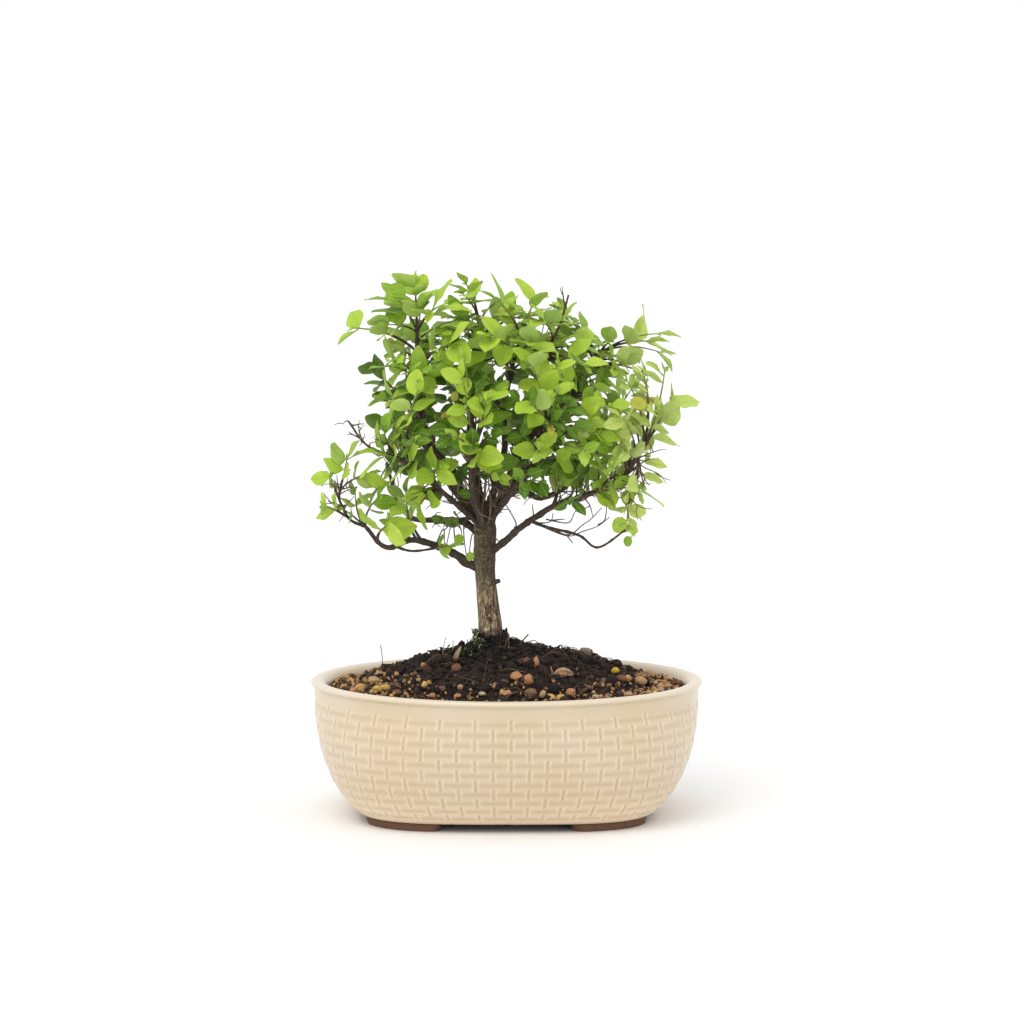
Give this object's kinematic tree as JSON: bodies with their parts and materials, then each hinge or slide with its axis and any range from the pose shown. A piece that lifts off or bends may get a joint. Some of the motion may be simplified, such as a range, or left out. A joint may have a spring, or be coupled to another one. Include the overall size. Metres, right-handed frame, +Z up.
{
  "type": "serissa bonsai",
  "caption": "Small bonsai tree with a spreading leafy crown on a slim trunk, in an oval glazed pot with basketweave relief, standing on feet.",
  "frame": {"origin": "on the ground under the middle of the pot", "axes": "+Z up, +X along the pot's length to the right, front of the pot towards -Y"},
  "size_m": [0.2, 0.153, 0.2773],
  "materials": {
    "pot_glaze": "glossy cream glaze that pools in the relief, bare brown clay on the feet",
    "screen_plastic": "moulded dark mesh",
    "wire_metal": "dull drawn wire",
    "gravel": "matt tan, orange and brown grains",
    "compost": "matt crumbly dark compost and fine roots",
    "bark": "matt, flecked tan below and grey brown above",
    "leaf_fresh": "satin fresh yellow green leaf",
    "leaf_mid": "satin middle green leaf",
    "leaf_deep": "satin dark green leaf",
    "leaf_grey": "satin greyish green leaf"
  },
  "bodies": {
    "root": {"pot": "pot_glaze", "drain_screen_left": "screen_plastic", "drain_wire_left": "wire_metal", "drain_screen_right": "screen_plastic", "drain_wire_right": "wire_metal", "gravel_bed": "gravel", "root_ball": "compost", "trunk": "bark", "spray_01": "leaf_fresh", "spray_02": "leaf_fresh", "spray_03": "leaf_fresh", "spray_04": "leaf_fresh", "spray_05": "leaf_fresh", "spray_06": "leaf_mid", "spray_07": "leaf_grey", "spray_08": "leaf_mid", "spray_09": "leaf_fresh", "spray_10": "leaf_grey", "spray_11": "leaf_fresh", "spray_12": "leaf_fresh", "spray_13": "leaf_grey", "spray_14": "leaf_fresh", "spray_15": "leaf_fresh", "spray_16": "leaf_fresh", "spray_17": "leaf_fresh", "spray_18": "leaf_fresh", "spray_19": "leaf_grey", "spray_20": "leaf_mid", "spray_21": "leaf_mid", "spray_22": "leaf_fresh", "spray_23": "leaf_fresh", "spray_24": "leaf_grey", "spray_25": "leaf_fresh", "spray_26": "leaf_fresh", "spray_27": "leaf_grey", "spray_28": "leaf_mid", "spray_29": "leaf_mid", "spray_30": "leaf_fresh", "spray_31": "leaf_fresh", "spray_32": "leaf_fresh", "spray_33": "leaf_fresh", "spray_34": "leaf_fresh", "spray_35": "leaf_fresh", "spray_36": "leaf_fresh", "spray_37": "leaf_fresh", "spray_38": "leaf_grey", "spray_39": "leaf_deep", "spray_40": "leaf_deep", "spray_41": "leaf_deep", "spray_42": "leaf_deep", "spray_43": "leaf_grey", "spray_44": "leaf_deep", "spray_45": "leaf_deep", "spray_46": "leaf_deep", "spray_47": "leaf_deep", "spray_48": "leaf_deep", "spray_49": "leaf_deep", "spray_50": "leaf_deep", "spray_51": "leaf_mid"}
  },
  "joints": []
}
